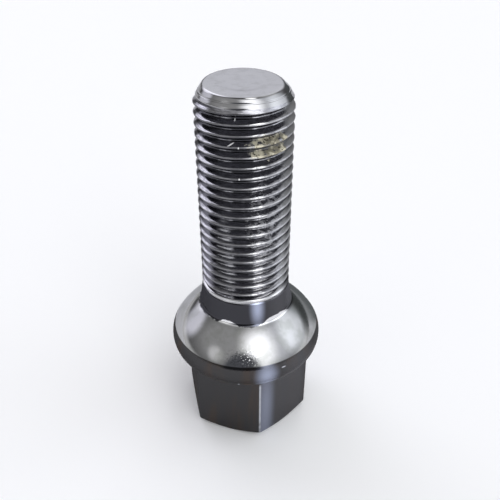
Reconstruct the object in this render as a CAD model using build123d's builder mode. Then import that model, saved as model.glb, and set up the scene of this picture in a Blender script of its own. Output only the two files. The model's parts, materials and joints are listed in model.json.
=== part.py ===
"""One-piece forged wheel bolt: hexagon drive, ball seat collar, tapered neck and shank for a fine thread."""

import os
from math import atan2, cos, degrees, radians, sin, sqrt, tan

from build123d import *

# Driving dimensions in millimetres and degrees, with heights measured up from the head's end face
overall_length = 58.75
hex_across_flats = 19.0
hex_corner_radius = 0.4
hex_end_flat_diameter = 17.6
hex_end_chamfer_angle = 30.0
seat_radius = 14.0
seat_centre_height = 10.8
seat_edge_angle = 31.2
rim_radius = 3.6
neck_fillet_radius = 0.8
neck_base_diameter = 14.8
neck_top_height = 26.6
thread_diameter = 14.0
tip_face_diameter = 11.5
tip_chamfer_length = 1.95
tip_dish_diameter = 7.6
tip_dish_depth = 0.15
tip_dish_wall = 0.3

# Rounded rim of the collar, which leaves the ball seat's lower edge without a corner
rim_offset = seat_radius - rim_radius
rim_centre_radius = rim_offset * cos(radians(seat_edge_angle))
rim_centre_height = seat_centre_height + rim_offset * sin(radians(seat_edge_angle))
rim_bottom_height = rim_centre_height - rim_radius

# Hollow fillet that blends the ball seat into the neck
neck_base_radius = neck_base_diameter / 2
hollow_centre_radius = neck_base_radius + neck_fillet_radius
hollow_rise = sqrt((seat_radius + neck_fillet_radius) ** 2 - hollow_centre_radius**2)
hollow_centre_height = seat_centre_height + hollow_rise
hollow_angle = degrees(atan2(hollow_rise, hollow_centre_radius))

# Shank at the full diameter of the thread, tip face with its shallow dish, and the flat circle on the head's end
thread_radius = thread_diameter / 2
tip_face_radius = tip_face_diameter / 2
dish_radius = tip_dish_diameter / 2
dish_floor_height = overall_length - tip_dish_depth
end_flat_radius = hex_end_flat_diameter / 2
chamfer_rise = (hex_across_flats - end_flat_radius) * tan(radians(hex_end_chamfer_angle))

with BuildPart() as bolt:
    # Hexagon drive with one corner on -Y, run up into the collar
    with BuildSketch() as hexagon:
        RegularPolygon(hex_across_flats / 2, 6, major_radius=False, rotation=30)
        fillet(hexagon.vertices(), hex_corner_radius)
    extrude(amount=rim_centre_height)

    # Chamfer cone that takes the corners off the head's end face
    with BuildSketch(Plane.XZ):
        with BuildLine():
            Polyline(
                (end_flat_radius, 0),
                (hex_across_flats, 0),
                (hex_across_flats, chamfer_rise),
                close=True,
            )
        make_face()
    revolve(axis=Axis.Z, mode=Mode.SUBTRACT)

    # Collar rim, ball seat, tapered neck, shank and dished tip as one turned profile
    with BuildSketch(Plane.XZ):
        with BuildLine():
            rim = CenterArc(
                (rim_centre_radius, rim_centre_height),
                rim_radius,
                -90,
                90 + seat_edge_angle,
            )
            CenterArc(
                (0, seat_centre_height),
                seat_radius,
                seat_edge_angle,
                hollow_angle - seat_edge_angle,
            )
            hollow = CenterArc(
                (hollow_centre_radius, hollow_centre_height),
                neck_fillet_radius,
                180 + hollow_angle,
                -hollow_angle,
            )
            Polyline(
                hollow @ 1,
                (thread_radius, neck_top_height),
                (thread_radius, overall_length - tip_chamfer_length),
                (tip_face_radius, overall_length),
                (dish_radius, overall_length),
                (dish_radius - tip_dish_wall, dish_floor_height),
                (0, dish_floor_height),
                (0, rim_bottom_height),
                rim @ 0,
            )
        make_face()
    revolve(axis=Axis.Z)

os.makedirs("parts", exist_ok=True)
bolt.part.label = "wheel_bolt"
export_step(bolt.part, "parts/wheel_bolt.step")
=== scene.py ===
"""Studio scene of a chrome-plated wheel bolt, standing on its hexagon head on a pale floor in soft light."""

import json
import logging
import math
from collections.abc import Callable
from dataclasses import dataclass
from enum import Enum
from typing import Any

import bmesh
import bpy
import numpy as np
from mathutils import Matrix, Vector


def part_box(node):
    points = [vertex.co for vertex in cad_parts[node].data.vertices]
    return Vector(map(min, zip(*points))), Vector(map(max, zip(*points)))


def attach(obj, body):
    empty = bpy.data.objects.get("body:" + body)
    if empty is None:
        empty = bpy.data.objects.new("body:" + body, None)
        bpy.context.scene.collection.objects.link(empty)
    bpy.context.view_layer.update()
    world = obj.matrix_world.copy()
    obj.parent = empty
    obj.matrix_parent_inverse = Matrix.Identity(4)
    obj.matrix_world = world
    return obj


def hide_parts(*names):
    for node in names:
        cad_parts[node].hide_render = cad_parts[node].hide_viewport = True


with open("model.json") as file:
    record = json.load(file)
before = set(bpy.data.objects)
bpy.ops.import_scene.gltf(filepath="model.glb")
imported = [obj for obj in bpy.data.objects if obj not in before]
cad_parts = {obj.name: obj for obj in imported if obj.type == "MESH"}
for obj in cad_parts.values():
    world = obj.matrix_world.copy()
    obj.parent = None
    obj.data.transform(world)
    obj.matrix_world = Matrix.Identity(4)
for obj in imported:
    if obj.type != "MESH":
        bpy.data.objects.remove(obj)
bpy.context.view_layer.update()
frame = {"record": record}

log = logging.getLogger("wheel_bolt")

Array = np.ndarray
Colour = tuple[float, float, float]
Span = tuple[float, float]
Inputs = dict[str | int, Any]

MM = 0.001
NODE = "wheel_bolt"
IMAGE_SIDE_PX = 500.0
MERGE_MM = 0.0004
SLIVER_MM = 0.00004
SWELL_WAVES = ((0.91, 0.34, 0.7), (-0.58, 1.27, 2.1), (1.61, -1.13, 4.4), (0.73, 1.83, 5.2))
THREAD_WAVES = ((1.31, 0.0), (2.77, 1.1), (4.13, 2.9), (0.57, 4.0))


def mount(name: str) -> dict[str, Any]:
    """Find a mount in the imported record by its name."""
    return next(m for m in frame["record"]["mounts"] if m["name"] == name)


def mount_radius(name: str) -> float:
    """Radius of a mount, in millimetres."""
    return float(mount(name)["dims"]["r_mm"])


def mount_height(name: str) -> float:
    """Height of a mount's point above the head's end, in millimetres."""
    return float(mount(name)["pos_m"][2]) / MM


def add_object(name: str, data: Any) -> bpy.types.Object:
    """Put an object with the data given into the scene, at the origin."""
    made = bpy.data.objects.new(name, data)
    bpy.context.scene.collection.objects.link(made)
    return made


def soft_max(a: Array, b: Array, reach: float) -> Array:
    """Take the greater of two values with a rounded change from one to the other.

    Where the values are closer than the reach, a quarter of (reach - gap)^2 / reach is added.

    Args:
        a: First values.
        b: Second values.
        reach: Gap below which the two are blended.

    Returns:
        The blended greater values.
    """
    gap = np.abs(a - b)
    return np.maximum(a, b) + np.clip(reach - gap, 0.0, None) ** 2 / (4.0 * reach)


def soft_min(a: Array, b: Array, reach: float) -> Array:
    """The lesser of two values, blended as soft_max blends the greater."""
    return -soft_max(-a, -b, reach)


def ease(x: Array, start: float, end: float) -> Array:
    """Rise smoothly from 0 at start to 1 at end, as 3t^2 - 2t^3 of the share t of the way."""
    t = np.clip((x - start) / (end - start), 0.0, 1.0)
    return t * t * (3.0 - 2.0 * t)


def ripple(x: Array, y: Array, wave: float) -> Array:
    """Uneven swell of a forged face: four plain waves that cross at odd angles.

    Args:
        x: Places along X.
        y: Places along Y.
        wave: Rough length of the swell.

    Returns:
        Heights between about -1 and 1.
    """
    k = 2.0 * math.pi / wave
    return sum(np.sin(k * (a * x + b * y) + phase) for a, b, phase in SWELL_WAVES) / len(SWELL_WAVES)


def round_axis(radius: Any, angle: Array, height: Any) -> Array:
    """Points round the bolt's axis: x = r cos(angle), y = r sin(angle), z = height."""
    return np.stack(np.broadcast_arrays(radius * np.cos(angle), radius * np.sin(angle), height), axis=-1)


def join_quads(*corners: Array) -> Array:
    """Make quads from four equal grids of point numbers, one for each corner in order."""
    return np.stack(corners, axis=-1).reshape(-1, 4)


@dataclass
class Patch:
    """A set of points in millimetres and the quads that join them, with their faces outwards."""

    points: Array
    quads: Array


@dataclass
class Band:
    """A closed band round the axis: radius, height and angle of each point, in rows along the outline."""

    radius: Array
    height: Array
    angle: Array

    @staticmethod
    def stack(*bands: "Band") -> "Band":
        """Lay bands one after another, each starting where the last ended."""
        return Band(
            np.vstack([b.radius for b in bands]),
            np.vstack([b.height for b in bands]),
            np.vstack([b.angle for b in bands]),
        )

    def patch(self) -> Patch:
        """Turn the band into points and quads."""
        rows, columns = self.radius.shape
        row, column = np.meshgrid(np.arange(rows - 1) * columns, np.arange(columns), indexing="ij")
        following = (column + 1) % columns
        above = row + columns
        quads = join_quads(row + column, row + following, above + following, above + column)
        return Patch(round_axis(self.radius, self.angle, self.height).reshape(-1, 3), quads)


@dataclass
class Circle:
    """A level circle on the bolt's outline, where two patches meet."""

    radius: float
    height: float


@dataclass
class Columns:
    """The angles round the bolt at which its surface has points."""

    per_side: int = 26
    sides: int = 6
    corner_crowding: float = 0.15

    @property
    def count(self) -> int:
        """Number of columns in one turn."""
        return self.per_side * self.sides

    def even(self) -> Array:
        """Angles with equal steps, in radians from +X."""
        return 2.0 * math.pi * np.arange(self.count) / self.count

    def crowded(self) -> Array:
        """Angles that crowd at the hexagon's corners.

        Each side's share t, from -1 to 1 with the corner at 0, becomes c t + (1 - c) t^3.

        Returns:
            Angles in radians from +X, each near the even one of the same column.
        """
        half_side = math.pi / self.sides
        even = self.even()
        corner = np.round(even / (2.0 * half_side) - 0.5) * 2.0 * half_side + half_side
        t = (even - corner) / half_side
        c = self.corner_crowding
        return corner + half_side * (c * t + (1.0 - c) * t**3)

    def blend(self, share: Array) -> Array:
        """Angles between even, at share 0, and crowded, at share 1, for each row."""
        return (1.0 - share)[:, None] * self.even() + share[:, None] * self.crowded()


@dataclass
class HexHead:
    """The hexagon drive, from its round end flat to the wall under the collar."""

    columns: Columns
    across_flats: float = 19.0
    corner_radius: float = 0.4
    end_flat_radius: float = 8.8
    end_slope: float = math.radians(30.0)
    end_edge_reach: float = 0.12
    end_zone: float = 1.7
    face_rows: int = 7
    end_rows: int = 34
    wall_rows: int = 9

    def wall(self, angle: Array) -> Array:
        """Radius of the hexagon's wall.

        On a flat it is the half width over the cosine of the angle off the flat's middle. On a corner it is
        the far crossing with a circle of the corner's radius that touches both flats.

        Args:
            angle: Angles in radians from +X.

        Returns:
            The radius at each angle.
        """
        apothem = self.across_flats / 2.0
        sixth = math.pi / 3.0
        half = sixth / 2.0
        off = np.abs(angle % sixth - half)
        flat = apothem / np.cos(half - off)
        centre = (apothem - self.corner_radius) / math.cos(half)
        sine = np.minimum(centre * np.sin(off), self.corner_radius)
        corner = centre * np.cos(off) + np.sqrt(self.corner_radius**2 - sine**2)
        touch = math.atan2(self.corner_radius * math.sin(half), centre + self.corner_radius * math.cos(half))
        return np.where(off < touch, corner, flat)

    def band(self, top: float) -> Band:
        """Rows from the middle of the end face, over the end's slope and up the wall.

        The end's slope is a cone, and each point takes the lesser of the cone's and the wall's radius.

        Args:
            top: Height at which the wall's rows end.

        Returns:
            The head's band.
        """
        share = np.linspace(0.0, 1.0, self.face_rows)[:-1]
        face_height = np.zeros(self.face_rows - 1)
        slope_height = self.end_zone * np.linspace(0.0, 1.0, self.end_rows)
        wall_height = np.linspace(self.end_zone, top, self.wall_rows)[1:]
        height = np.concatenate([face_height, slope_height, wall_height])
        angle = self.columns.blend(np.ones_like(height))
        cone = self.end_flat_radius + height / math.tan(self.end_slope)
        radius = soft_min(self.wall(angle), cone[:, None], self.end_edge_reach)
        radius[: self.face_rows - 1] = share[:, None] * radius[self.face_rows - 1]
        return Band(radius, np.repeat(height[:, None], self.columns.count, axis=1), angle)


@dataclass
class BallCollar:
    """The collar: a rounded rim, the ball seat above it, a hollow and the plain neck."""

    columns: Columns
    seat_radius: float
    seat_centre: float
    thread_radius: float
    neck_base_radius: float = 7.4
    neck_top: float = 26.2
    seat_edge: float = math.radians(31.2)
    rim_radius: float = 3.6
    hollow_radius: float = 0.8
    under_rim_reach: float = 0.5
    rim_wear: float = 0.008
    relief_depth: float = 0.18
    relief_length: float = 0.25
    run_out_slope: float = math.radians(40.0)
    bead_height: float = 26.85
    bead_half_width: float = 0.23
    bead_crown: float = 0.3
    rim_rows: int = 56
    seat_rows: int = 26
    hollow_rows: int = 12
    neck_rows: int = 8
    relief_rows: int = 9

    @property
    def rim_centre(self) -> Circle:
        """Circle on which the rim's round is centred, where it touches the seat inside."""
        off = self.seat_radius - self.rim_radius
        return Circle(off * math.cos(self.seat_edge), self.seat_centre + off * math.sin(self.seat_edge))

    @property
    def bottom(self) -> float:
        """Height of the rim's lowest circle."""
        return self.rim_centre.height - self.rim_radius

    @property
    def seat_top(self) -> float:
        """Angle up the ball at which the seat meets the hollow."""
        hollow_centre = self.neck_base_radius + self.hollow_radius
        return math.acos(hollow_centre / (self.seat_radius + self.hollow_radius))

    @property
    def seat_low(self) -> float:
        """Height of the ball seat's lower edge."""
        return self.seat_centre + self.seat_radius * math.sin(self.seat_edge)

    @property
    def seat_high(self) -> float:
        """Height at which the ball seat meets the hollow."""
        return self.seat_centre + self.seat_radius * math.sin(self.seat_top)

    @property
    def neck_low(self) -> float:
        """Height at which the hollow ends upright on the neck."""
        return self.seat_centre + (self.seat_radius + self.hollow_radius) * math.sin(self.seat_top)

    @property
    def foot(self) -> Circle:
        """Circle at the bottom of the relief above the neck, where the thread's strip takes over."""
        return Circle(self.thread_radius - self.relief_depth, self.neck_top + self.relief_length)

    @property
    def bead_top(self) -> float:
        """Height of the bead's upper edge."""
        return self.bead_height + self.bead_half_width

    def run_out(self, height: Array) -> Array:
        """Radius on which the grooves run out above the neck: a cone and a bead with a parabola's section."""
        cone = self.foot.radius - (height - self.foot.height) * math.tan(self.run_out_slope)
        off = (height - self.bead_height) / self.bead_half_width
        return np.maximum(cone, self.thread_radius - self.bead_crown * off**2)

    def band(self, head: HexHead) -> Band:
        """Rows up the rim, the seat, the hollow and the neck.

        The rim and seat are arcs, radius c + R cos(a) and height h + R sin(a), the rim worn by a hair at its
        widest. The hollow is an arc that leaves the ball and ends upright on the neck, which narrows in a
        straight line and ends in a smooth step down to the relief. Under the rim each point takes the greater
        of the arc and the hexagon.

        Args:
            head: The hexagon that the rim grows out of.

        Returns:
            The collar's band.
        """
        rim = self.rim_centre
        rim_angle = np.linspace(-0.5 * math.pi, self.seat_edge, self.rim_rows)
        worn = np.cos(np.clip(rim_angle / self.seat_edge, -1.0, 1.0) * 0.5 * math.pi) ** 2
        seat_angle = np.linspace(self.seat_edge, self.seat_top, self.seat_rows)[1:]
        hollow_angle = np.linspace(math.pi + self.seat_top, math.pi, self.hollow_rows)[1:]
        hollow_centre = self.neck_base_radius + self.hollow_radius
        taper = np.linspace(self.neck_low, self.neck_top, self.neck_rows)[1:]
        relief = np.linspace(self.neck_top, self.foot.height, self.relief_rows)[1:]
        neck_height = np.concatenate([taper, relief])
        share = (neck_height - self.neck_low) / (self.neck_top - self.neck_low)
        narrowing = self.thread_radius - self.neck_base_radius
        straight = self.neck_base_radius + narrowing * np.minimum(share, 1.0)
        neck_radius = straight - self.relief_depth * ease(neck_height, self.neck_top, self.foot.height)
        radius = np.concatenate(
            [
                rim.radius + self.rim_radius * np.cos(rim_angle) - self.rim_wear * worn,
                self.seat_radius * np.cos(seat_angle),
                hollow_centre + self.hollow_radius * np.cos(hollow_angle),
                neck_radius,
            ]
        )
        height = np.concatenate(
            [
                rim.height + self.rim_radius * np.sin(rim_angle),
                self.seat_centre + self.seat_radius * np.sin(seat_angle),
                self.neck_low + self.hollow_radius * np.sin(hollow_angle),
                neck_height,
            ]
        )
        roundness = ease(height, rim.height - 0.5 * self.rim_radius, rim.height + self.rim_radius)
        angle = self.columns.blend(1.0 - roundness)
        level = np.repeat(height[:, None], self.columns.count, axis=1)
        turned = np.repeat(radius[:, None], self.columns.count, axis=1)
        joined = soft_max(turned, head.wall(angle), self.under_rim_reach)
        return Band(np.where((height < rim.height)[:, None], joined, turned), level, angle)


@dataclass
class Thread:
    """The fine right-hand thread between the neck's relief and the tip's lead-in cone."""

    columns: Columns
    crest_radius: float
    pitch: float = 1.5
    depth: float = 0.92
    flank: float = math.radians(30.0)
    crest_flat: float = 0.1875
    crest_height_on_x: float = 0.0
    crest_reach: float = 0.12
    root_reach: float = 0.34
    lead_reach: float = 0.10
    lead_from: float = -0.3
    lead_fade: Span = (-0.25, 0.35)
    wobble: float = 0.045
    section: tuple[float, ...] = (0.0, 0.035, 0.058, 0.075, 0.1, 0.2, 0.31, 0.38, 0.43)

    def offsets(self) -> Array:
        """Places across one turn, from the root below the crest to just short of the root above it."""
        half = np.array(self.section)
        return self.pitch * np.concatenate([[-0.5], -half[:0:-1], half])

    def profile(self, offset: Array) -> Array:
        """Radius across one turn: straight flanks that are cut off round at the crest and at the root."""
        sharp = self.crest_radius + 0.5 * self.crest_flat / math.tan(self.flank)
        flanks = sharp - np.abs(offset) / math.tan(self.flank)
        topped = soft_min(flanks, np.full_like(flanks, self.crest_radius), self.crest_reach)
        root = np.full_like(flanks, self.crest_radius - self.depth)
        return soft_max(topped, root, self.root_reach)

    def unevenness(self, angle: Array) -> Array:
        """Share of the wobble along the thread: plain waves of four odd lengths, from 0 to 1."""
        along = self.crest_radius * angle
        waves = sum(np.sin(rate * along + phase) for rate, phase in THREAD_WAVES)
        return 0.5 + 0.5 * waves / len(THREAD_WAVES)

    def strip(self, collar: BallCollar, tip: "Tip") -> Patch:
        """One long strip that winds up the shank, each turn joined to the next.

        A point's height is the start plus a pitch for each turn plus its offset across the strip. Its radius
        is the profile's, made at least the run-out cone and at most the lead-in cone. Points past the end
        circles are drawn onto them.

        Args:
            collar: The collar whose neck the thread starts from.
            tip: The tip whose cone the thread runs out on.

        Returns:
            The thread's patch.
        """
        around = self.columns.count
        low, high = collar.foot, tip.start
        across = self.offsets()
        wide = len(across)
        below = math.floor((low.height - 0.5 * self.pitch - self.crest_height_on_x) / self.pitch)
        start = self.crest_height_on_x + below * self.pitch
        turns = math.ceil((high.height - start) / self.pitch) + 1
        step = np.arange(turns * around + 1)
        angle = np.repeat((2.0 * math.pi * step / around)[:, None], wide, axis=1)
        height = start + self.pitch * (step / around)[:, None] + across[None, :]
        radius = self.profile(across)[None, :] - self.wobble * self.unevenness(angle)
        radius = soft_max(radius, collar.run_out(height), self.lead_reach)
        lead = np.minimum(tip.cone(height), self.crest_radius)
        cut = soft_min(radius, tip.cone(height), self.lead_reach)
        kept = 1.0 - ease(height - tip.cone_foot, *self.lead_fade)
        radius = np.where(height > tip.cone_foot + self.lead_from, lead + (cut - lead) * kept, cut)
        radius = np.where(height <= low.height, low.radius, radius)
        radius = np.where(height >= high.height, high.radius, radius)
        points = round_axis(radius, angle, np.clip(height, low.height, high.height))
        row, column = np.meshgrid(np.arange(len(step) - 1) * wide, np.arange(wide - 1), indexing="ij")
        place = row + column
        inner = join_quads(place, place + wide, place + wide + 1, place + 1)
        first = np.arange(len(step) - 1 - around) * wide
        last = first + wide - 1
        above = first + around * wide
        link = join_quads(last, last + wide, above + wide, above)
        return Patch(points.reshape(-1, 3), np.vstack([inner, link]))


@dataclass
class Tip:
    """The lead-in cone, the lap that rolling left on it, and the slightly askew, faintly dished end face."""

    columns: Columns
    top: float
    face_radius: float = 5.65
    face_oval: float = 0.2
    long_side: float = math.radians(78.2)
    face_shift: tuple[float, float] = (-0.16, 0.05)
    face_lean: float = math.radians(2.15)
    high_side: float = math.radians(85.0)
    cone_top_radius: float = 5.55
    cone_slope: float = math.radians(31.7)
    cone_length: float = 1.95
    lap_drop: float = 1.2
    lap_depth: float = 0.1
    lap_width: float = 0.16
    notch_share: float = 0.25
    edge_reach: float = 0.36
    dish_radius: float = 3.8
    dish_wall: float = 1.3
    dish_depth: float = 0.045
    swell_depth: float = 0.005
    swell_wave: float = 5.3
    edge_rows: int = 10
    slope_rows: int = 4
    face_rows: int = 8
    wall_rows: int = 14
    floor_rows: int = 14

    @property
    def cone_foot(self) -> float:
        """Height at which the thread runs out on the lead-in cone."""
        return self.top - self.cone_length

    @property
    def start(self) -> Circle:
        """Circle on the cone where the thread's strip ends and the lap begins."""
        height = self.top - self.lap_drop
        return Circle(self.cone(height), height)

    def cone(self, height: Any) -> Any:
        """Radius of the lead-in cone, carried on past its ends."""
        return self.cone_top_radius + (self.top - height) * math.tan(self.cone_slope)

    def plane(self, x: Array, y: Array) -> Array:
        """Height of the askew end plane: it rises in a straight line towards its high side."""
        along = np.array([math.cos(self.high_side), math.sin(self.high_side)])
        rise = math.tan(self.face_lean)
        peak = self.face_radius + self.face_oval + float(along @ np.array(self.face_shift))
        return self.top + rise * (x * along[0] + y * along[1] - peak)

    def ring(self, radius: float, drop: float = 0.0) -> Array:
        """Points on a slight oval round the face's own middle, so far under the end plane."""
        angle = self.columns.even()
        oval = 1.0 + self.face_oval / self.face_radius * np.cos(2.0 * (angle - self.long_side))
        x = self.face_shift[0] + radius * oval * np.cos(angle)
        y = self.face_shift[1] + radius * oval * np.sin(angle)
        return np.stack([x, y, self.plane(x, y) - drop], axis=-1)

    def level_ring(self, radius: float, height: float) -> Array:
        """Points on a level circle round the bolt's axis."""
        return round_axis(radius, self.columns.even(), height)

    def band(self) -> Band:
        """Rows from the lap up the cone, over the round edge and across the face to the middle of the dish.

        The lap is a small notch. Above it each column is a straight line that bends into the face along a
        curve with a point on the line, the face's edge and a point on the face as its three guides. The dish
        drops by a smooth step at its wall, and its floor has a slight swell that fades out at the wall.

        Returns:
            The tip's band.
        """
        low = self.start
        lip_height = low.height + self.lap_width
        foot = self.level_ring(low.radius, low.height)
        notch = self.level_ring(low.radius - self.lap_depth, low.height + self.notch_share * self.lap_width)
        lip = self.level_ring(self.cone(lip_height), lip_height)
        edge = self.ring(self.face_radius)
        inside = self.ring(self.face_radius - self.edge_reach)
        back = (lip - edge) / np.linalg.norm(lip - edge, axis=1, keepdims=True)
        below = edge + self.edge_reach * back
        up = np.linspace(0.0, 1.0, self.slope_rows)[:-1, None, None]
        slope = lip + up * (below - lip)
        t = np.linspace(0.0, 1.0, self.edge_rows)[:, None, None]
        bend = (1.0 - t) ** 2 * below + 2.0 * t * (1.0 - t) * edge + t**2 * inside
        inner = self.dish_radius - self.dish_wall
        face = np.linspace(self.face_radius - self.edge_reach, self.dish_radius, self.face_rows)[1:]
        wall = np.linspace(self.dish_radius, inner, self.wall_rows)[1:]
        floor = np.linspace(inner, 0.0, self.floor_rows)[1:]
        radii = np.concatenate([face, wall, floor])
        sunk = ease(-radii, -self.dish_radius, -inner)
        flat = np.stack([self.ring(r, self.dish_depth * s) for r, s in zip(radii, sunk)])
        swell = ripple(flat[..., 0], flat[..., 1], self.swell_wave) - 1.0
        flat[..., 2] += self.swell_depth * sunk[:, None] * swell
        rows = np.concatenate([foot[None], notch[None], slope, bend, flat])
        x, y, height = np.moveaxis(rows, -1, 0)
        return Band(np.hypot(x, y), height, np.arctan2(y, x))


class Nodes:
    """A node tree that is filled by Python calls."""

    def __init__(self, tree: bpy.types.NodeTree) -> None:
        """Start with an empty tree."""
        self.tree = tree
        tree.nodes.clear()

    @classmethod
    def of_material(cls, name: str) -> tuple[bpy.types.Material, "Nodes"]:
        """Make a material and its empty tree."""
        made = bpy.data.materials.new(name)
        made.use_nodes = True
        return made, cls(made.node_tree)

    def make(
        self, kind: str, inputs: Inputs | None = None, settings: dict[str, Any] | None = None
    ) -> bpy.types.Node:
        """Add any node.

        Args:
            kind: The node's type, without the leading ShaderNode.
            inputs: A value or a Value for each named or numbered socket.
            settings: Properties that are set first.

        Returns:
            The new node.
        """
        node = self.tree.nodes.new("ShaderNode" + kind)
        for name, setting in (settings or {}).items():
            setattr(node, name, setting)
        for name, value in (inputs or {}).items():
            socket = node.inputs[name]
            if isinstance(value, Value):
                self.tree.links.new(value.socket, socket)
            else:
                socket.default_value = value
        return node

    def value(
        self,
        kind: str,
        inputs: Inputs | None = None,
        settings: dict[str, Any] | None = None,
        out: str | int = 0,
    ) -> "Value":
        """Add any node and wrap one of its outputs.

        Args:
            kind: The node's type, without the leading ShaderNode.
            inputs: As for make.
            settings: As for make.
            out: Name or number of the output.

        Returns:
            The wrapped output.
        """
        return Value(self, self.make(kind, inputs, settings).outputs[out])

    def math(self, operation: str, *terms: Any) -> "Value":
        """Add a Math node on values and numbers."""
        return self.value("Math", dict(enumerate(terms)), {"operation": operation})

    def vector(self, operation: str, *terms: Any, out: str | int = 0) -> "Value":
        """Add a Vector Math node on vectors."""
        return self.value("VectorMath", dict(enumerate(terms)), {"operation": operation}, out)

    def rise(self, value: Any, start: float, end: float, origin: float = 0.0) -> "Value":
        """A smooth step from 0 at start to 1 at end, both measured from the origin."""
        low, high = sorted((origin + start, origin + end))
        step = self.value(
            "MapRange",
            {"Value": value, "From Min": low, "From Max": high},
            {"interpolation_type": "SMOOTHSTEP"},
        )
        return step if start < end else 1.0 - step

    def step(self, value: Any, place: float, blur: float) -> "Value":
        """A smooth step up at a place, or down where the blur is less than 0."""
        return self.rise(value, -blur, blur, place)

    def mix(self, share: Any, first: Any, second: Any, blend: str = "MIX") -> "Value":
        """Blend two colours by a share."""
        return self.value(
            "Mix",
            {0: share, 6: self._colour(first), 7: self._colour(second)},
            {"data_type": "RGBA", "blend_type": blend},
            2,
        )

    def layers(self, base: Any, *layers: tuple[Any, Any]) -> "Value":
        """Lay colours over a base one after another, each by its share."""
        for share, colour in layers:
            base = self.mix(share, base, colour)
        return base

    @staticmethod
    def _colour(colour: Any) -> Any:
        """Add a full alpha to a plain colour."""
        return colour if isinstance(colour, Value) else (*colour, 1.0)


def operator(operation: str, swapped: bool = False) -> Callable[["Value", Any], "Value"]:
    """Make an arithmetic method from a Math node's operation, with its two terms swapped if asked."""

    def method(value: "Value", other: Any) -> "Value":
        """Add the Math node."""
        terms = (other, value) if swapped else (value, other)
        return value.nodes.math(operation, *terms)

    return method


class Value:
    """A node's output that takes part in Python arithmetic."""

    def __init__(self, nodes: Nodes, socket: bpy.types.NodeSocket) -> None:
        """Wrap a socket."""
        self.nodes = nodes
        self.socket = socket

    __add__ = __radd__ = operator("ADD")
    __mul__ = __rmul__ = operator("MULTIPLY")
    __sub__ = operator("SUBTRACT")
    __rsub__ = operator("SUBTRACT", swapped=True)
    __truediv__ = operator("DIVIDE")
    __rtruediv__ = operator("DIVIDE", swapped=True)

    def __abs__(self) -> "Value":
        """Size without sign."""
        return self.nodes.math("ABSOLUTE", self)

    def root(self) -> "Value":
        """Square root."""
        return self.nodes.math("SQRT", self)

    def clip(self) -> "Value":
        """Keep between 0 and 1."""
        return self.nodes.value("Clamp", {"Value": self})


@dataclass(frozen=True)
class Spot:
    """A place for wear, stains, painted highlights or painted shade: its turn in degrees from the -Y corner
    towards +X, its height, half sizes.
    """

    turn: float
    height: float
    half_turn: float
    half_height: float
    softness: float = 0.5
    slant: float = 0.0


@dataclass(frozen=True)
class RootShade:
    """Painted shade in the thread's roots at one place, and how far from the crest it begins, in pitches."""

    place: Spot
    start: float


@dataclass(frozen=True)
class FlankHighlight:
    """A place where a painted highlight runs along the thread's flanks, and how strong it is."""

    place: Spot
    share: float


@dataclass(frozen=True)
class Cloud:
    """A cloudy pattern: its scale, the values between which its patches grow, its stretch along each axis."""

    scale: float
    span: Span = (0.0, 1.0)
    stretch: tuple[float, float, float] = (1.0, 1.0, 1.0)
    detail: float = 3.0
    roughness: float = 0.55


@dataclass(frozen=True)
class Surface:
    """The coordinates that the plating's patterns read, in millimetres and degrees."""

    nodes: Nodes
    place: Value
    height: Value
    radius: Value
    turn: Value

    @classmethod
    def on(cls, nodes: Nodes) -> "Surface":
        """Work the coordinates out from the object's own."""
        metres = nodes.value("TexCoord", out="Object")
        place = nodes.value("VectorMath", {0: metres, "Scale": 1.0 / MM}, {"operation": "SCALE"})
        parts = nodes.make("SeparateXYZ", {0: place})
        x, y, height = (Value(nodes, parts.outputs[i]) for i in range(3))
        turn = nodes.math("ARCTAN2", x, y * -1.0) * math.degrees(1.0)
        return cls(nodes, place, height, (x * x + y * y).root(), turn)

    def between(self, low: float, high: float, blur: float) -> Value:
        """1 between two heights, 0 outside, with soft ends."""
        return self.nodes.step(self.height, low, blur) * self.nodes.step(self.height, high, -blur)

    def spot(self, spot: Spot) -> Value:
        """1 inside an oval place on the bolt's side, 0 outside."""
        above = self.height - spot.height
        across = (self.turn - spot.turn - spot.slant * above) / spot.half_turn
        along = above / spot.half_height
        return self.nodes.step((across * across + along * along).root(), 1.0, -spot.softness)

    def spots(self, spots: tuple[Spot, ...]) -> Value:
        """1 inside any of some places, 0 outside."""
        return sum(self.spot(spot) for spot in spots).clip()

    def across_ridge(self, thread: Thread) -> Value:
        """Place across the thread's ridge in pitches: 0 on the crest, less than 0 under it, more on top."""
        climbed = (self.height - thread.crest_height_on_x) / thread.pitch - (self.turn - 90.0) / 360.0
        return self.nodes.math("FRACT", climbed + 0.5) - 0.5

    def strip(self, ridge: Value, spans: tuple[Span, Span]) -> Value:
        """1 in a strip along the thread, between its two soft sides."""
        first, second = (self.nodes.rise(ridge, *span) for span in spans)
        return first * second

    def cloud(self, cloud: Cloud) -> Value:
        """A cloudy pattern between 0 and 1."""
        drawn = self.nodes.vector("DIVIDE", self.place, cloud.stretch)
        inputs = {"Vector": drawn, "Scale": cloud.scale, "Detail": cloud.detail, "Roughness": cloud.roughness}
        return self.nodes.value("TexNoise", inputs, out="Fac")

    def patches(self, cloud: Cloud, lift: Value | float = 0.0) -> Value:
        """1 in a pattern's patches, 0 between them; a lift makes them grow."""
        return self.nodes.rise(self.cloud(cloud) + lift, *cloud.span)


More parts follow.
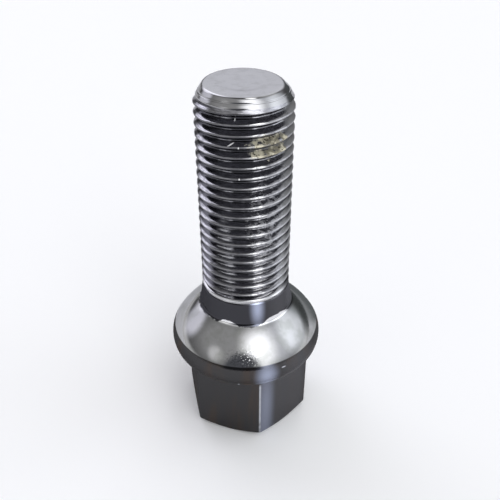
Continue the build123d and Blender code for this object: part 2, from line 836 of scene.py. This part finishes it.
@dataclass(frozen=True)
class ChromePlating:
    """Polished chrome over forged steel: bright on the seat and the tip, darker in the thread.

    Spans across a ridge are in pitches from its crest; other lengths are in millimetres.
    """

    seat: Colour = (0.43, 0.43, 0.44)
    seat_dull: Colour = (0.36, 0.365, 0.36)
    # painted_hollow_highlight: the hollow above the seat painted bright as a painted highlight
    painted_hollow_highlight: Colour = (0.80, 0.80, 0.82)
    flank: Colour = (0.38, 0.38, 0.41)
    flank_dull: Colour = (0.24, 0.24, 0.26)
    fleck: Colour = (0.46, 0.46, 0.48)
    side_dull: Colour = (0.305, 0.305, 0.305)
    crest: Colour = (0.45, 0.45, 0.47)
    # land_shade: the crest's land painted dark as painted shade, left off where the lights fall
    land_shade: Colour = (0.13, 0.13, 0.14)
    bead: Colour = (0.60, 0.60, 0.62)
    cone: Colour = (0.385, 0.385, 0.395)
    face: Colour = (0.46, 0.465, 0.48)
    face_dull: Colour = (0.42, 0.425, 0.435)
    brass: Colour = (0.66, 0.62, 0.48)
    olive: Colour = (0.26, 0.24, 0.175)
    brown: Colour = (0.06, 0.05, 0.035)
    # bare_and_painted_highlight: bare metal in the nicks, and the colour of the painted highlights, glints
    # and reflections
    bare_and_painted_highlight: Colour = (0.9, 0.9, 0.9)
    # grime_and_painted_shade: dark colour of the seat's pits, and painted shade in the thread's roots and
    # under its ridges
    grime_and_painted_shade: Colour = (0.07, 0.07, 0.078)
    edge_tint: Colour = (0.65, 0.65, 0.67)

    gloss: float = 0.09
    dull: float = 0.2
    rough: float = 0.4
    stain_roughness: float = 0.8
    crusted: float = 0.7
    bump_mm: float = 0.004
    grain_depth: float = 0.2
    thread_grain_depth: float = 2.0
    pit_depth: float = 3.0
    pit_share: float = 0.6
    swell: Cloud = Cloud(0.8, detail=1.0)
    grain: Cloud = Cloud(2.6, detail=4.0)
    hammering: Cloud = Cloud(3.6, detail=2.0)

    seat_clouds: Cloud = Cloud(0.45, (0.4, 0.7))
    smudges: Cloud = Cloud(0.45, (0.45, 0.75))
    face_clouds: Cloud = Cloud(0.7, (0.45, 0.7))
    pits: Cloud = Cloud(5.0, (0.56, 0.64), detail=1.0)
    # glint_specks: bright specks painted at the pits' edge as painted glints
    glint_specks: Cloud = Cloud(4.2, (0.6, 0.67), detail=1.0)
    scores: Cloud = Cloud(1.4, (0.42, 0.62), (1.0, 1.0, 0.16))
    crest_polish: Cloud = Cloud(1.3, (0.3, 0.6))
    flecks: Cloud = Cloud(1.5, (0.46, 0.62), (1.0, 1.0, 0.4))
    root_patches: Cloud = Cloud(1.1, (0.4, 0.6))
    stain_patches: Cloud = Cloud(1.3, (0.7273, 0.9318))
    stain_brass: Cloud = Cloud(1.3, (0.5, 0.7), detail=2.0)
    stain_brown: Cloud = Cloud(1.9, (0.45, 0.35), detail=2.0)
    stain_lift: float = 0.4545
    brass_lift: float = 0.25

    thread_blur: float = 0.1
    foot_blur: float = 0.06
    bead_blur: float = 0.1
    face_blur: float = 0.3
    cone_span: Span = (0.15, 0.3)
    hollow_span: Span = (0.0, 0.15)
    polish_span: Span = (-0.16, -0.06)
    land_shade_span: Span = (0.055, 0.02)
    fleck_span: Span = (-0.02, 0.05)
    under_span: Span = (-0.05, -0.11)
    lit_underside_spans: tuple[Span, Span] = ((-0.185, -0.225), (-0.32, -0.285))
    flank_highlight_spans: tuple[Span, Span] = ((0.16, 0.2), (0.35, 0.31))
    root_span: Span = (0.34, 0.42)
    root_share: float = 0.7
    root_blur: float = 0.07
    # shaded_roots: painted shade in the roots at places round the thread
    shaded_roots: tuple[RootShade, ...] = (
        RootShade(Spot(-85.0, 42.0, 40.0, 60.0, 0.3), 0.19),
        RootShade(Spot(-82.0, 31.0, 42.0, 10.0, 0.5), 0.13),
        RootShade(Spot(-14.5, 42.0, 13.0, 60.0, 0.2), 0.34),
        RootShade(Spot(66.0, 33.0, 42.0, 17.0, 0.4), 0.25),
        RootShade(Spot(76.0, 32.0, 22.0, 19.0, 0.4), 0.12),
    )
    # painted_lit_undersides: places where a strip under each ridge is painted bright as a painted reflection
    # instead of painted shade
    painted_lit_undersides: tuple[Spot, ...] = (
        Spot(38.0, 31.0, 40.0, 8.0, 0.3),
        Spot(-45.0, 32.0, 18.0, 9.0, 0.25),
    )
    # painted_flank_highlights: painted highlights along the flanks, with their strength
    painted_flank_highlights: tuple[FlankHighlight, ...] = (
        FlankHighlight(Spot(5.0, 31.0, 5.5, 8.0, 0.5), 1.0),
        FlankHighlight(Spot(18.0, 31.0, 11.0, 8.0, 0.6), 0.4),
        FlankHighlight(Spot(-42.0, 32.0, 13.0, 9.0, 0.3), 0.3),
    )
    nicks: tuple[Spot, ...] = (
        Spot(-27.4, 52.35, 1.35, 0.2, 0.3, 15.0),
        Spot(-18.3, 52.05, 0.8, 0.13, 0.3),
        Spot(-17.9, 47.6, 0.8, 0.13, 0.3),
        Spot(-22.8, 55.6, 0.8, 0.14, 0.3),
    )
    # painted_crest_highlight: polished crests painted bright as a painted highlight down the thread at one
    # turn
    painted_crest_highlight: Spot = Spot(2.5, 42.0, 9.0, 60.0, 0.6)
    pitting: Spot = Spot(-15.0, 19.1, 13.0, 1.1, 0.5)
    glint_place: Spot = Spot(-10.0, 19.3, 8.0, 1.0, 0.6)
    brass_stain: Spot = Spot(19.0, 51.8, 28.0, 2.0, 0.3)
    thick_stain: Spot = Spot(0.0, 51.8, 10.0, 2.2, 0.5)
    fleck_zone: Spot = Spot(12.0, 40.5, 22.0, 7.0, 0.6)
    dull_side: Spot = Spot(74.0, 42.0, 30.0, 60.0, 0.6)
    # lit_lands: where the crest's land is lit and its painted shade is left off
    lit_lands: Spot = Spot(40.0, 42.0, 46.0, 60.0, 0.3)

    def shader(self, on: Surface, bolt: "WheelBolt") -> Value:
        """Make the bright plating's shader.

        Args:
            on: The surface's coordinates.
            bolt: The bolt whose heights divide the surface into zones.

        Returns:
            The shader.
        """
        nodes = on.nodes
        foot = bolt.collar.foot.height
        on_thread = on.between(foot, bolt.tip.cone_foot, self.thread_blur)
        ridge = on.across_ridge(bolt.thread)
        stain = on.patches(self.stain_patches, on.spot(self.brass_stain) * self.stain_lift)
        nicks = on.spots(self.nicks)
        # painted glint specks on the seat
        glint_specks = on.patches(self.glint_specks) * on.spot(self.glint_place)
        flecks = on.patches(self.flecks) * on.spot(self.fleck_zone) * nodes.rise(ridge, *self.fleck_span)
        on_cone = nodes.rise(on.height, *self.cone_span, bolt.tip.cone_foot)
        on_face = nodes.step(on.radius, bolt.tip.face_radius, -self.face_blur) * on_cone
        colour = nodes.layers(
            self._seat(on, bolt.collar, glint_specks),
            (nodes.step(on.height, foot, self.foot_blur), self._thread(on, bolt, ridge, stain)),
            (nicks, self.bare_and_painted_highlight),
            (flecks * on_thread, self.fleck),
            (on_cone, self.cone),
            (on_face, nodes.mix(on.patches(self.face_clouds), self.face, self.face_dull)),
        )
        worn = (flecks + stain * self.stain_roughness + nicks + on.spot(self.dull_side)).clip() * on_thread
        roughness = self.gloss + (self.dull - self.gloss) * on.patches(self.smudges)
        roughness = roughness + (self.rough - self.gloss) * (worn + glint_specks)
        grain_depth = self.grain_depth + self.thread_grain_depth * on_thread
        waves = on.cloud(self.swell) + grain_depth * on.cloud(self.grain)
        waves = waves + self.pit_depth * on.spot(self.pitting) * on.cloud(self.hammering)
        bump = nodes.value("Bump", {"Strength": 1.0, "Distance": self.bump_mm * MM, "Height": waves})
        return nodes.value(
            "BsdfPrincipled",
            {
                "Base Color": colour,
                "Metallic": 1.0 - (stain * self.crusted + nicks).clip() * on_thread,
                "Roughness": roughness,
                "Specular Tint": (*self.edge_tint, 1.0),
                "Normal": bump,
            },
        )

    def _seat(self, on: Surface, collar: BallCollar, glint_specks: Value) -> Value:
        """Colour of the ball seat: dull clouds, a painted highlight on the hollow above, dark pits and
        painted glint specks at its low edge.
        """
        return on.nodes.layers(
            self.seat,
            (on.patches(self.seat_clouds), self.seat_dull),
            (on.nodes.rise(on.height, *self.hollow_span, collar.seat_high), self.painted_hollow_highlight),
            (on.patches(self.pits) * on.spot(self.pitting) * self.pit_share, self.grime_and_painted_shade),
            (glint_specks, self.bare_and_painted_highlight),
        )

    def _thread(self, on: Surface, bolt: "WheelBolt", ridge: Value, stain: Value) -> Value:
        """Colour of the thread.

        The flanks are scored along their length, the crests and the lowest ring are polished in places, and a
        patchy brass-coloured stain lies over them. Painted shade sits in the roots and under each ridge, but
        for a strip painted bright as a painted reflection of the floor in the flanks below, which get painted
        highlights there.
        The crest's land is painted in shade except where the lights fall on it, and a painted highlight runs
        down the polished crests at one turn.

        Args:
            on: The surface's coordinates.
            bolt: The bolt that has the thread.
            ridge: The place across the thread's ridge.
            stain: The share of the stain.

        Returns:
            The colour.
        """
        nodes = on.nodes
        on_crest = nodes.rise(on.radius, *self.polish_span, bolt.thread.crest_radius)
        polish = on_crest * on.patches(self.crest_polish)
        land_shade = nodes.rise(ridge, *self.land_shade_span) * (1.0 - on.spot(self.lit_lands))
        thick = on.patches(self.stain_brass, on.spot(self.thick_stain) * self.brass_lift)
        stained = nodes.layers(self.olive, (thick, self.brass), (on.patches(self.stain_brown), self.brown))
        # painted shade under each ridge and, in patches, in the roots
        under = nodes.rise(ridge, *self.under_span)
        # strip under the ridge painted bright as a painted reflection
        lit_underside = on.spots(self.painted_lit_undersides) * on.strip(ridge, self.lit_underside_spans)
        root_shade = nodes.rise(ridge, *self.root_span) * on.patches(self.root_patches)
        grime_and_painted_shade = under * (1.0 - lit_underside) + root_shade * self.root_share
        for root in self.shaded_roots:
            grime_and_painted_shade = grime_and_painted_shade + nodes.rise(ridge, 0.0, self.root_blur, root.start) * on.spot(root.place)
        flank_highlight = on.strip(ridge, self.flank_highlight_spans)
        return nodes.layers(
            self.flank,
            (on.patches(self.scores), self.flank_dull),
            (on.spot(self.dull_side), self.side_dull),
            (polish, self.crest),
            # painted highlight on the crests
            (polish * on.spot(self.painted_crest_highlight), self.bare_and_painted_highlight),
            (land_shade, self.land_shade),
            (stain, stained),
            (under * lit_underside, self.bare_and_painted_highlight),
            (grime_and_painted_shade.clip(), self.grime_and_painted_shade),
            *((on.spot(highlight.place) * flank_highlight * highlight.share, self.bare_and_painted_highlight) for highlight in self.painted_flank_highlights),
            (nodes.step(on.height, bolt.collar.bead_top, -self.bead_blur), self.bead),
        )


@dataclass(frozen=True)
class DarkReflectionPlating:
    """The plating painted dark on the neck, the rim and the hexagon as a painted dark reflection, with worn
    corners lightened as a painted highlight.

    Spans on the seat and the rim are in millimetres from the edge that they belong to.
    """

    # head, seat and neck: dark tones that paint a dark reflection on the hexagon, the rim, the seat's edges
    # and the neck
    head: Colour = (0.06, 0.059, 0.061)
    head_brown: Colour = (0.073, 0.062, 0.057)
    seat: Colour = (0.24, 0.25, 0.25)
    seat_matt: Colour = (0.07, 0.076, 0.076)
    neck: Colour = (0.05, 0.05, 0.057)
    # painted_sheen: a bluish painted reflection, laid in streaks on the neck, the rim and the flats
    painted_sheen: Colour = (0.42, 0.46, 0.60)
    # painted_light_tone: a lighter tone painted on one side of the neck and on two flats, as a brighter
    # painted reflection
    painted_light_tone: Colour = (0.13, 0.13, 0.14)
    # worn: bright wear on the chips, also laid on the corners as a painted highlight
    worn: Colour = (0.55, 0.57, 0.62)
    edge_tint: Colour = (0.5, 0.5, 0.5)
    roughness: float = 0.14
    matt_roughness: float = 0.7
    matt_span: Span = (0.52, 0.76)
    seat_low_span: Span = (-0.05, 0.15)
    seat_high_span: Span = (-0.2, 0.1)

    brown_streaks: Cloud = Cloud(0.35, (0.45, 0.66), (1.0, 1.0, 7.0))
    corner_patches: Cloud = Cloud(0.8, (0.1, 0.5))
    # worn corner lines, lightened as a painted highlight
    worn_lit_corner_step: float = 120.0
    worn_lit_corner_span: Span = (1.2, 0.3)
    worn_lit_corner_top: Span = (0.6, -0.4)
    painted_flat_sheen_top: Span = (1.0, 0.0)
    past_corner_span: Span = (180.0, 179.0)
    painted_light_neck_share: float = 0.45
    painted_light_flat_share: float = 0.7
    painted_flat_sheen_share: float = 0.6
    painted_rim_sheen_share: float = 0.9

    # painted sheen streaks: painted reflections on the neck, the rim and three of the flats
    painted_neck_sheen: Spot = Spot(3.0, 25.6, 6.4, 2.3, 1.0)
    painted_light_neck: Spot = Spot(62.0, 25.0, 44.0, 9.0, 0.5)
    painted_rim_sheen: Spot = Spot(3.5, 16.0, 6.0, 1.9, 0.95)
    chips: tuple[Spot, ...] = (Spot(16.5, 17.1, 1.5, 0.1, 0.5), Spot(-17.5, 14.5, 0.7, 0.12, 0.4))
    painted_flat_sheens: tuple[Spot, ...] = (
        Spot(6.0, 6.0, 7.5, 9.0, 0.9),
        Spot(98.0, 8.0, 7.0, 14.0, 0.6),
        Spot(163.0, 9.0, 6.0, 16.0, 0.6),
    )
    # painted lighter flats, standing in for a brighter reflection
    painted_light_flats: tuple[Spot, ...] = (
        Spot(32.0, 6.0, 28.0, 12.0, 0.3),
        Spot(150.0, 6.0, 28.0, 12.0, 0.3),
    )

    def shader(self, on: Surface, collar: BallCollar) -> Value:
        """Make the dark plating's shader, a metal painted dark as a painted dark reflection, that turns matt
        where it is seen edge on.

        Args:
            on: The surface's coordinates.
            collar: The collar whose heights divide the surface into zones.

        Returns:
            The shader.
        """
        nodes = on.nodes
        head = self._head(on, collar.bottom)
        neck = nodes.layers(
            self.neck,
            (on.spot(self.painted_light_neck) * self.painted_light_neck_share, self.painted_light_tone),
            # painted sheen streak on the neck
            (on.spot(self.painted_neck_sheen), self.painted_sheen),
        )
        above_rim = nodes.rise(on.height, *self.seat_low_span, collar.seat_low)
        on_neck = nodes.rise(on.height, *self.seat_high_span, collar.seat_high)
        colour, dull_colour = (
            nodes.layers(head, (above_rim, seat), (on_neck, neck)) for seat in (self.seat, self.seat_matt)
        )
        metal = nodes.value(
            "BsdfPrincipled",
            {
                "Base Color": colour,
                "Metallic": 1.0,
                "Roughness": self.roughness,
                "Specular Tint": (*self.edge_tint, 1.0),
            },
        )
        matt = nodes.value(
            "BsdfPrincipled",
            {"Base Color": dull_colour, "Roughness": self.matt_roughness, "Specular IOR Level": 0.0},
        )
        facing = nodes.value("LayerWeight", {"Blend": 0.5}, out="Facing")
        return nodes.value("MixShader", {0: nodes.rise(facing, *self.matt_span), 1: metal, 2: matt})

    def _head(self, on: Surface, rim_bottom: float) -> Value:
        """Colour of the hexagon and the rim: dark as a painted dark reflection, brown in places, with painted
        bluish sheen streaks, painted lighter flats, chips and worn corners lightened as a painted highlight.
        """
        nodes = on.nodes
        # where the painted sheen streaks on the flats show: under the rim, away from the back
        below = nodes.rise(on.height, *self.painted_flat_sheen_top, rim_bottom)
        past_corner = nodes.rise(abs(on.turn - 180.0), *self.past_corner_span)
        sheen_shown = below * past_corner * self.painted_flat_sheen_share
        off_corner = nodes.math("PINGPONG", on.turn, self.worn_lit_corner_step / 2.0)
        on_worn_lit_corner = nodes.rise(off_corner, *self.worn_lit_corner_span)
        under_rim = nodes.rise(on.height, *self.worn_lit_corner_top, rim_bottom)
        return nodes.layers(
            self.head,
            (on.patches(self.brown_streaks), self.head_brown),
            # painted lighter flats
            *((on.spot(flat) * self.painted_light_flat_share, self.painted_light_tone) for flat in self.painted_light_flats),
            *((on.spot(sheen_spot) * sheen_shown, self.painted_sheen) for sheen_spot in self.painted_flat_sheens),
            (on.spot(self.painted_rim_sheen) * self.painted_rim_sheen_share, self.painted_sheen),
            *((on.spot(chip), self.worn) for chip in self.chips),
            # worn corner lines, lightened as a painted highlight on the corners
            (on_worn_lit_corner * under_rim * on.patches(self.corner_patches), self.worn),
        )


@dataclass(frozen=True)
class BoltFinish:
    """The bolt's whole finish: bright, and painted dark as a painted dark reflection below the seat, on the
    neck and in a painted dark patch up one side of the seat.
    """

    bright: ChromePlating = ChromePlating()
    # dark_reflection: the plating painted dark as a painted dark reflection
    dark_reflection: DarkReflectionPlating = DarkReflectionPlating()
    edge_blur: float = 0.07
    edge_drop: float = 0.65
    edge_cloud: Cloud = Cloud(1.1)
    edge_raggedness: float = 0.6
    crescent_lifts: tuple[float, float] = (0.62, 0.85)
    crescents: tuple[Spot, Spot] = (Spot(-34.5, 23.0, 9.0, 30.0, 0.7), Spot(29.0, 23.0, 17.0, 30.0, 0.6))
    # painted_dark_patch: the dark plating laid on one side of the seat as a painted dark reflection
    painted_dark_patch: Spot = Spot(109.0, 20.5, 52.0, 8.0, 0.13, -4.75)
    painted_dark_patch_share: float = 0.92

    def material(self, bolt: "WheelBolt") -> bpy.types.Material:
        """Make the bolt's material.

        Args:
            bolt: The bolt whose heights divide the surface into zones.

        Returns:
            The material.
        """
        made, nodes = Nodes.of_material("chrome_plating")
        on = Surface.on(nodes)
        collar = bolt.collar
        ragged = on.height + (on.cloud(self.edge_cloud) - 0.5) * self.edge_raggedness
        # crescents lift the dark plating's edge so the painted hollow highlight shows as two crescents
        for crescent, lift in zip(self.crescents, self.crescent_lifts):
            ragged = ragged - on.spot(crescent) * lift
        head = nodes.step(on.height, collar.seat_low, -self.edge_blur)
        neck = nodes.step(ragged, collar.neck_low - self.edge_drop, self.edge_blur)
        neck = neck * nodes.step(on.height, collar.foot.height, -self.edge_blur)
        # the dark plating shows as a painted dark reflection below the seat, on the neck and in the painted
        # dark patch
        shader = nodes.value(
            "MixShader",
            {
                0: (head + neck + on.spot(self.painted_dark_patch) * self.painted_dark_patch_share).clip(),
                1: self.bright.shader(on, bolt),
                2: self.dark_reflection.shader(on, collar),
            },
        )
        nodes.make("OutputMaterial", {0: shader})
        return made


@dataclass(frozen=True)
class PaleFloor:
    """Matt pale board that the bolt stands on."""

    colour: Colour = (0.96, 0.96, 0.96)
    roughness: float = 0.9

    def material(self) -> bpy.types.Material:
        """Make the floor's material."""
        made, nodes = Nodes.of_material("pale_floor")
        shader = nodes.value(
            "BsdfPrincipled",
            {"Base Color": (*self.colour, 1.0), "Roughness": self.roughness, "Specular IOR Level": 0.0},
        )
        nodes.make("OutputMaterial", {0: shader})
        return made


@dataclass
class WheelBolt:
    """The whole bolt as one closed skin over its CAD node, in millimetres."""

    head: HexHead
    collar: BallCollar
    thread: Thread
    tip: Tip

    @classmethod
    def from_frame(cls) -> "WheelBolt":
        """Take the bolt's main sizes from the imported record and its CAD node."""
        crest = mount_radius("thread")
        columns = Columns()
        return cls(
            head=HexHead(columns),
            collar=BallCollar(
                columns,
                seat_radius=mount_radius("ball_seat"),
                seat_centre=mount_height("ball_seat"),
                thread_radius=crest,
            ),
            thread=Thread(columns, crest_radius=crest),
            tip=Tip(columns, top=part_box(NODE)[1].z / MM),
        )

    def build(self, finish: BoltFinish) -> bpy.types.Object:
        """Join the patches into one mesh, merge their shared circles and poles, and dress it.

        Args:
            finish: The bolt's finish.

        Returns:
            The bolt's object.
        """
        patches = [
            Band.stack(self.head.band(self.collar.bottom), self.collar.band(self.head)).patch(),
            self.thread.strip(self.collar, self.tip),
            self.tip.band().patch(),
        ]
        starts = np.cumsum([0] + [len(p.points) for p in patches])
        points = np.vstack([p.points for p in patches])
        quads = np.vstack([p.quads + start for p, start in zip(patches, starts)])
        mesh = bpy.data.meshes.new(NODE)
        mesh.vertices.add(len(points))
        mesh.vertices.foreach_set("co", (points * MM).astype(np.float32).ravel())
        mesh.loops.add(quads.size)
        mesh.loops.foreach_set("vertex_index", quads.astype(np.int32).ravel())
        mesh.polygons.add(len(quads))
        mesh.polygons.foreach_set("loop_start", np.arange(0, quads.size, 4, dtype=np.int32))
        mesh.update(calc_edges=True)
        skin = bmesh.new()
        skin.from_mesh(mesh)
        bmesh.ops.remove_doubles(skin, verts=skin.verts, dist=MERGE_MM * MM)
        bmesh.ops.dissolve_degenerate(skin, edges=skin.edges, dist=SLIVER_MM * MM)
        open_edges = sum(1 for e in skin.edges if len(e.link_faces) != 2)
        log.info("%s: %d faces, %d open edges", NODE, len(skin.faces), open_edges)
        skin.to_mesh(mesh)
        skin.free()
        mesh.shade_smooth()
        piece = add_object("bolt_skin", mesh)
        mesh.materials.append(finish.material(self))
        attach(piece, "root")
        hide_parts(NODE)
        return piece


@dataclass
class PhotoCamera:
    """The camera: a small lens close to the bolt, looking down on its free end."""

    focal_px: float = 575.35
    sensor_mm: float = 36.0
    distance: float = 75.6
    height: float = 82.07
    bearing: float = math.radians(-11.8)
    pitch: float = math.radians(33.617)
    yaw: float = math.radians(0.559)
    roll: float = math.radians(-0.146)
    near_m: float = 0.005
    far_m: float = 20.0

    def build(self) -> bpy.types.Object:
        """Place the camera: it stands off the axis by its distance, turned by its bearing from -Y.

        Returns:
            The camera's object.
        """
        forward = Vector((
            math.sin(self.yaw) * math.cos(self.pitch),
            math.cos(self.yaw) * math.cos(self.pitch),
            -math.sin(self.pitch),
        ))
        right = Vector((math.cos(self.yaw), -math.sin(self.yaw), 0.0))
        up = right.cross(forward)
        turned_right = right * math.cos(self.roll) + up * math.sin(self.roll)
        turned_up = up * math.cos(self.roll) - right * math.sin(self.roll)
        axes = Matrix((turned_right, turned_up, -forward)).transposed().to_4x4()
        stand = Matrix.Translation(Vector((0.0, -self.distance, self.height)) * MM)
        lens = bpy.data.cameras.new("photo_camera")
        lens.sensor_fit = "HORIZONTAL"
        lens.sensor_width = self.sensor_mm
        lens.lens = self.focal_px / IMAGE_SIDE_PX * self.sensor_mm
        lens.clip_start = self.near_m
        lens.clip_end = self.far_m
        camera = add_object("photo_camera", lens)
        camera.matrix_world = Matrix.Rotation(self.bearing, 4, "Z") @ stand @ axes
        bpy.context.scene.camera = camera
        return camera


@dataclass(frozen=True)
class SoftLight:
    """An oval glow in the studio's surround, placed by how it is seen from the bolt."""

    bearing: float
    elevation: float
    half_width: float
    half_height: float
    strength: float
    softness: float = 0.35
    tint: Colour = (1.0, 1.0, 1.0)


class Glow(Enum):
    """The studio's lights: bearing from the camera's side to the right, elevation, half sizes, strength."""

    FRONT_LEFT = SoftLight(-35.0, 42.0, 50.0, 30.0, 0.38, 0.4)
    FRONT_RIGHT = SoftLight(52.0, 37.0, 42.0, 28.0, 0.82, 0.4, (0.97, 1.0, 1.06))
    KEY = SoftLight(23.2, 39.0, 20.0, 26.0, 1.7, 0.65)
    LEFT = SoftLight(-113.0, 21.0, 17.0, 16.0, 1.0, tint=(0.95, 0.95, 1.06))
    BACK_LEFT = SoftLight(-138.0, 42.0, 15.0, 24.0, 1.8, tint=(0.96, 0.95, 1.05))
    BACK = SoftLight(180.0, 37.0, 29.0, 25.0, 1.05, 0.3, (0.98, 0.98, 1.03))
    RIGHT = SoftLight(97.0, 27.0, 27.0, 22.0, 1.05, tint=(0.96, 1.0, 1.05))
    LOW_LEFT = SoftLight(-49.0, 24.0, 10.0, 9.0, 0.5, 0.5)
    BACK_RIGHT = SoftLight(127.0, 55.0, 16.0, 14.0, 0.5)
    OVERHEAD = SoftLight(109.0, 79.0, 15.0, 6.5, 3.0)


@dataclass
class Studio:
    """The pale floor and the surround that lights it, with two plain dark screens before the lights."""

    camera: PhotoCamera
    floor_reach: float = 6.0
    wall_glow: float = 0.85
    wall_height: float = 5.0
    wall_fade: Span = (1.8, 0.6)
    dome_glow: float = 0.13
    own_side: Span = (0.0, 0.2)
    flags: tuple[SoftLight, ...] = (
        SoftLight(-5.7, 6.0, 26.5, 31.0, 1.0, 0.15, (0.13, 0.135, 0.15)),
        SoftLight(137.0, 3.0, 30.0, 13.0, 1.0, 0.4, (0.16, 0.17, 0.17)),
    )

    def floor(self, finish: PaleFloor) -> bpy.types.Object:
        """Lay the floor as one flat sheet at the height of the head's end."""
        edge = self.floor_reach
        corners = [(-edge, -edge, 0.0), (edge, -edge, 0.0), (edge, edge, 0.0), (-edge, edge, 0.0)]
        mesh = bpy.data.meshes.new("floor")
        mesh.from_pydata(corners, [], [(0, 1, 2, 3)])
        sheet = add_object("floor", mesh)
        mesh.materials.append(finish.material())
        return sheet

    def aim(self, bearing: float, elevation: float) -> Vector:
        """Direction of a point of the surround, from its bearing and elevation in degrees."""
        turn = self.camera.bearing - 0.5 * math.pi + math.radians(bearing)
        rise = math.radians(elevation)
        return Vector((math.cos(turn) * math.cos(rise), math.sin(turn) * math.cos(rise), math.sin(rise)))

    def surround(self) -> None:
        """Fill the world with a dim dome, a pale band at the horizon, the oval glows and the dark screens.

        A glow is 1 where (across / half width)^2 + (along / half height)^2 is under 1, with a soft edge, on
        its own side of the sky.
        """
        world = bpy.data.worlds.new("studio")
        bpy.context.scene.world = world
        world.use_nodes = True
        nodes = Nodes(world.node_tree)
        look = nodes.value("TexCoord", out="Generated")
        height = nodes.value("SeparateXYZ", {0: look}, out=2)
        wall_top = math.sin(math.radians(self.wall_height))
        wall = nodes.rise(height, *(share * wall_top for share in self.wall_fade))
        light = nodes.mix(wall, (self.dome_glow,) * 3, (self.wall_glow,) * 3)
        for glow in (entry.value for entry in Glow):
            colour = tuple(glow.strength * c for c in glow.tint)
            light = nodes.mix(self._oval(nodes, look, glow), light, colour, "ADD")
        for flag in self.flags:
            light = nodes.mix(self._oval(nodes, look, flag), light, flag.tint)
        back = nodes.value("Background", {"Color": light, "Strength": 1.0})
        nodes.make("OutputWorld", {0: back})

    def _oval(self, nodes: Nodes, look: Value, glow: SoftLight) -> Value:
        """1 inside a glow's oval, 0 outside."""
        axis = self.aim(glow.bearing, glow.elevation)
        across = Vector((0.0, 0.0, 1.0)).cross(axis).normalized()
        along = axis.cross(across)
        side, rise, ahead = (
            nodes.vector("DOT_PRODUCT", look, tuple(line), out="Value") for line in (across, along, axis)
        )
        wide = side / math.sin(math.radians(glow.half_width))
        high = rise / math.sin(math.radians(glow.half_height))
        inside = nodes.step((wide * wide + high * high).root(), 1.0, -glow.softness)
        return inside * nodes.rise(ahead, *self.own_side)


def main() -> None:
    """Build the bolt, the studio and the camera."""
    logging.basicConfig(level=logging.INFO, format="%(name)s: %(message)s")
    bpy.context.scene.view_settings.view_transform = "Standard"
    bolt = WheelBolt.from_frame()
    piece = bolt.build(BoltFinish())
    log.info("built %s", piece.name)
    camera = PhotoCamera()
    camera.build()
    studio = Studio(camera)
    studio.floor(PaleFloor())
    studio.surround()
    log.info("studio ready")


if __name__ == "__main__":
    main()
